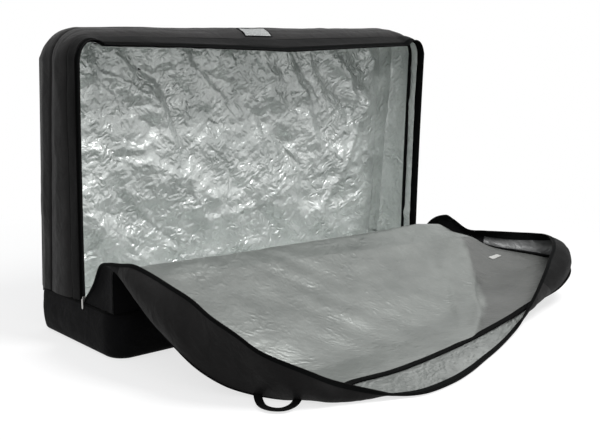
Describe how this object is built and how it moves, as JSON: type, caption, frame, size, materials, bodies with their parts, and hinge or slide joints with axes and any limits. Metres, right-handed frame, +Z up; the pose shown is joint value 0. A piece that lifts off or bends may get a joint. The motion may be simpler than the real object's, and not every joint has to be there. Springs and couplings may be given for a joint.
{
  "type": "soft bike travel bag",
  "caption": "Padded soft bag that stands on a boot-shaped base, with a zipped lid laid open in front, silver lining, loose gussets and a webbing grab loop.",
  "frame": {"origin": "centre of the underside of the boot, on the floor", "axes": "+X along the bag's length, +Y towards its back panel, +Z up; the lid opens towards -Y"},
  "size_m": [1.4531, 1.0491, 0.8285],
  "materials": {
    "black_coated_nylon": "coated woven nylon, slight sheen",
    "silver_foil_lining": "crinkled silver-coated cloth, semi-gloss",
    "closed_cell_foam": "closed-cell foam, dull",
    "stiffener_board": "plain board",
    "black_grosgrain_binding": "ribbed tape, matt",
    "black_zip_tape": "woven tape, matt",
    "black_zip_coil": "moulded coil, satin",
    "black_webbing": "ribbed webbing, matt",
    "clear_card_window": "clear film over a pale blank card",
    "blank_white_label": "woven, blank",
    "zinc_slider": "die-cast, satin"
  },
  "bodies": {
    "bag_body": {"base_floor_shell": "black_coated_nylon", "base_floor_foam": "closed_cell_foam", "base_stiffener_board": "stiffener_board", "base_floor_lining": "silver_foil_lining", "boot_wall_shell": "black_coated_nylon", "boot_wall_foam": "closed_cell_foam", "boot_wall_lining": "silver_foil_lining", "boot_hem_binding": "black_grosgrain_binding", "back_panel_shell": "black_coated_nylon", "back_panel_foam": "closed_cell_foam", "back_panel_lining": "silver_foil_lining", "rear_gusset_shell": "black_coated_nylon", "front_gusset_shell": "black_coated_nylon", "body_gusset_foam": "closed_cell_foam", "body_gusset_lining": "silver_foil_lining", "mid_seam_binding": "black_grosgrain_binding", "back_seam_binding": "black_grosgrain_binding", "body_zip_tape": "black_zip_tape", "body_zip_chain": "black_zip_coil", "blank_card_window": "clear_card_window", "lid_foot_shell": "black_coated_nylon", "lid_foot_foam": "closed_cell_foam", "lid_foot_lining": "silver_foil_lining", "left_gusset_root": "black_coated_nylon", "right_gusset_root": "black_coated_nylon", "left_zip_stop": "zinc_slider", "right_zip_stop": "zinc_slider"},
    "lid_near": {"lid_fold_shell": "black_coated_nylon", "lid_fold_lining": "silver_foil_lining", "left_gusset_arch": "black_coated_nylon", "right_gusset_arch": "black_coated_nylon"},
    "lid": {"lid_panel_shell": "black_coated_nylon", "lid_panel_foam": "closed_cell_foam", "lid_panel_lining": "silver_foil_lining", "lid_left_seam_binding": "black_grosgrain_binding", "lid_right_seam_binding": "black_grosgrain_binding", "lid_far_seam_binding": "black_grosgrain_binding", "blank_care_label": "blank_white_label", "lid_left_gusset_lining": "silver_foil_lining", "lid_left_gusset_shell": "black_coated_nylon", "lid_left_zip_tape": "black_zip_tape", "lid_left_zip_chain": "black_zip_coil", "lid_grab_handle": "black_webbing"},
    "lid_far": {"lid_far_gusset_lining": "silver_foil_lining", "lid_far_gusset_shell": "black_coated_nylon", "lid_far_zip_tape": "black_zip_tape", "lid_far_zip_chain": "black_zip_coil"},
    "lid_right": {"lid_right_gusset_lining": "silver_foil_lining", "lid_right_gusset_shell": "black_coated_nylon", "lid_right_zip_tape": "black_zip_tape", "lid_right_zip_chain": "black_zip_coil"},
    "left_slider": {"left_zip_slider": "zinc_slider"},
    "left_pull": {"left_zip_pull": "zinc_slider"},
    "right_slider": {"right_zip_slider": "zinc_slider"},
    "right_pull": {"right_zip_pull": "zinc_slider"}
  },
  "joints": [
    {"name": "lid_fold", "type": "hinge", "parent": "bag_body", "child": "lid_near", "pos_m": [0, -0.195, 0.25], "axis": [-1, 0, 0], "range_deg": [0, 116], "deforming": ["lid_fold_shell", "lid_fold_lining", "left_gusset_arch", "right_gusset_arch"]},
    {"name": "lid_swing", "type": "hinge", "parent": "lid_near", "child": "lid", "pos_m": [-0.325, -0.14107, 0.2763], "axis": [0, 0.4384, -0.8988], "range_deg": [0, 12.3]},
    {"name": "far_gusset_fold", "type": "hinge", "parent": "lid", "child": "lid_far", "pos_m": [-0.365, -0.73201, 0.00969], "axis": [-0.9849, -0.1611, -0.0639], "range_deg": [0, 64.2]},
    {"name": "right_gusset_fold", "type": "hinge", "parent": "lid", "child": "lid_right", "pos_m": [0.63466, -0.22005, 0.23197], "axis": [0.3783, -0.8421, -0.3844], "range_deg": [0, 35.2]},
    {"name": "left_zip_run", "type": "slide", "parent": "bag_body", "child": "left_slider", "axis": [0, 0, 1], "range_m": [0, 0.58]},
    {"name": "left_pull_swing", "type": "hinge", "parent": "left_slider", "child": "left_pull", "pos_m": [-0.633, -0.0458, 0.1358], "axis": [0, 1, 0], "range_deg": [0, 90]},
    {"name": "right_zip_run", "type": "slide", "parent": "bag_body", "child": "right_slider", "axis": [0, 0, 1], "range_m": [0, 0.58]},
    {"name": "right_pull_swing", "type": "hinge", "parent": "right_slider", "child": "right_pull", "pos_m": [0.633, -0.0458, 0.1358], "axis": [0, -1, 0], "range_deg": [0, 90]}
  ],
  "couplings": [
    {"joint": "lid_swing", "follows": "lid_fold", "ratio": 0.1052},
    {"joint": "far_gusset_fold", "follows": "lid_fold", "ratio": 0.5517},
    {"joint": "right_gusset_fold", "follows": "lid_fold", "ratio": 0.3017}
  ]
}
